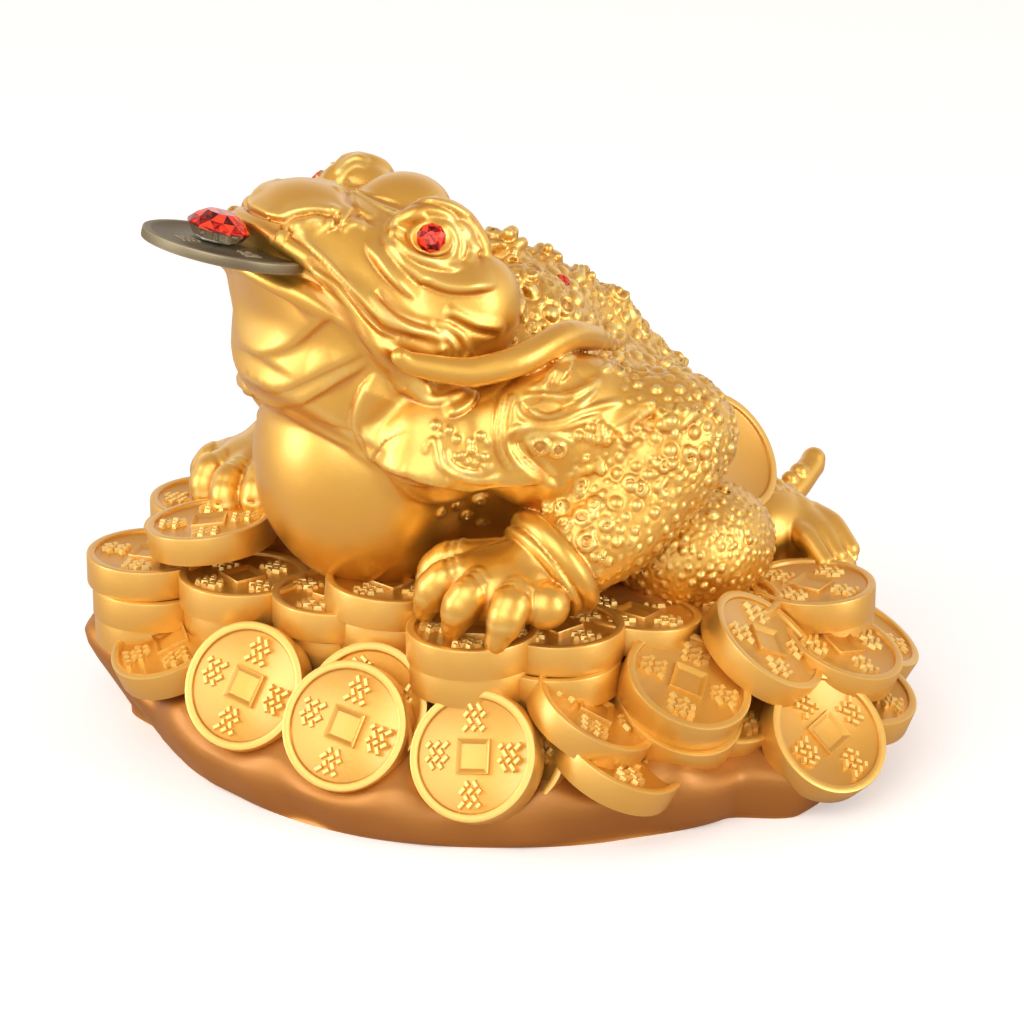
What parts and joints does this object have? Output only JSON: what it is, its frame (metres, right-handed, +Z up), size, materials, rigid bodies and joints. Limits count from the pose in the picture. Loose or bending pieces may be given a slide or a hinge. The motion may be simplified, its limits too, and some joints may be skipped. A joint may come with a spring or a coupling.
{
  "type": "money toad figure",
  "caption": "Gold-coloured toad figure crouching on a heap of square-holed coins on a rock-like base, with a loose coin in its mouth.",
  "frame": {"origin": "on the table under the middle of the figure's outline", "axes": "+Z up, the toad looks along -Y, and its left side is +X"},
  "size_m": [0.1348, 0.131, 0.1011],
  "materials": {
    "gold_casting": "cast resin with a satin gold lacquer",
    "coin_metal": "dark worn coin metal",
    "red_stone": "faceted and polished, silvered behind",
    "clear_glue": "hardened clear glue"
  },
  "bodies": {
    "root": {"casting": "gold_casting", "mouth_coin": "coin_metal", "mouth_coin_jewel": "red_stone", "jewel_glue": "clear_glue", "eye_jewel_left": "red_stone", "eye_jewel_right": "red_stone", "back_jewel": "red_stone"}
  },
  "joints": []
}
